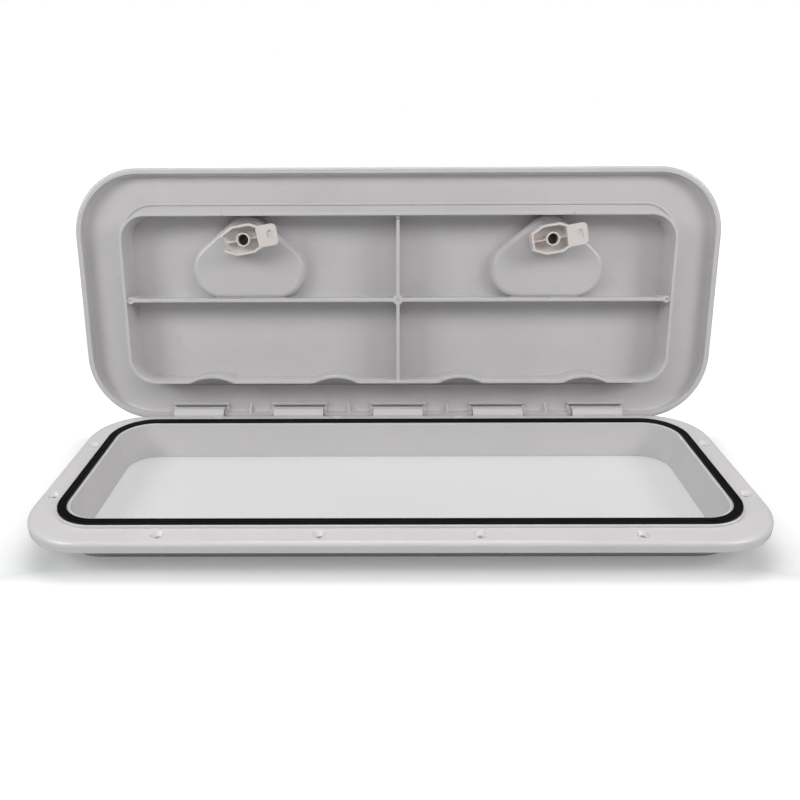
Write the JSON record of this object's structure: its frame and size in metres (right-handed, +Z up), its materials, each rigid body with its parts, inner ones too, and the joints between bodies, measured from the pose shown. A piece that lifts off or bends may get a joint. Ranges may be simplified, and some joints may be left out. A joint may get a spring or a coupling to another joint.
{
  "type": "deck hatch",
  "caption": "Rectangular marine deck hatch with a hinged ribbed lid standing open, a flanged frame with a rubber gasket, and quarter-turn cam latches.",
  "frame": {"origin": "centre of the hatch opening, on the deck surface that the underside of the flange seats on", "axes": "+X along the hatch's long side, +Y towards the hinges, +Z up out of the deck"},
  "size_m": [0.607, 0.2793, 0.2597],
  "materials": {
    "frame_plastic": "white moulded plastic, semi-gloss",
    "lid_plastic": "white moulded plastic, fine satin texture",
    "gasket_rubber": "black rubber seal, satin",
    "pin_steel": "stainless steel",
    "handle_plastic": "white moulded plastic, semi-gloss",
    "cam_plastic": "warm off-white acetal",
    "washer_nylon": "natural nylon",
    "oring_rubber": "black rubber",
    "screw_steel": "stainless steel"
  },
  "bodies": {
    "frame": {"frame": "frame_plastic", "gasket": "gasket_rubber"},
    "lid": {"lid": "lid_plastic", "hinge_pin_1": "pin_steel", "hinge_pin_2": "pin_steel", "hinge_pin_3": "pin_steel", "hinge_pin_4": "pin_steel", "hinge_pin_5": "pin_steel", "hinge_pin_6": "pin_steel", "hinge_pin_7": "pin_steel", "hinge_pin_8": "pin_steel", "hinge_pin_9": "pin_steel", "hinge_pin_10": "pin_steel"},
    "latch_left": {"latch_handle_left": "handle_plastic", "spindle_oring_left": "oring_rubber", "thrust_washer_left": "washer_nylon", "latch_cam_left": "cam_plastic", "screw_washer_left": "screw_steel", "cam_screw_left": "screw_steel"},
    "latch_right": {"latch_handle_right": "handle_plastic", "spindle_oring_right": "oring_rubber", "thrust_washer_right": "washer_nylon", "latch_cam_right": "cam_plastic", "screw_washer_right": "screw_steel", "cam_screw_right": "screw_steel"}
  },
  "joints": [
    {"name": "lid_hinge", "type": "hinge", "parent": "frame", "child": "lid", "pos_m": [0, 0.1146, 0.0066], "axis": [1, 0, 0], "range_deg": [0, 101]},
    {"name": "latch_left_turn", "type": "hinge", "parent": "lid", "child": "latch_left", "pos_m": [-0.1413, 0.13502, 0.17561], "axis": [0, -0.9816, 0.1908], "range_deg": [-10, 80]},
    {"name": "latch_right_turn", "type": "hinge", "parent": "lid", "child": "latch_right", "pos_m": [0.1413, 0.13502, 0.17561], "axis": [0, -0.9816, 0.1908], "range_deg": [-10, 80]}
  ]
}
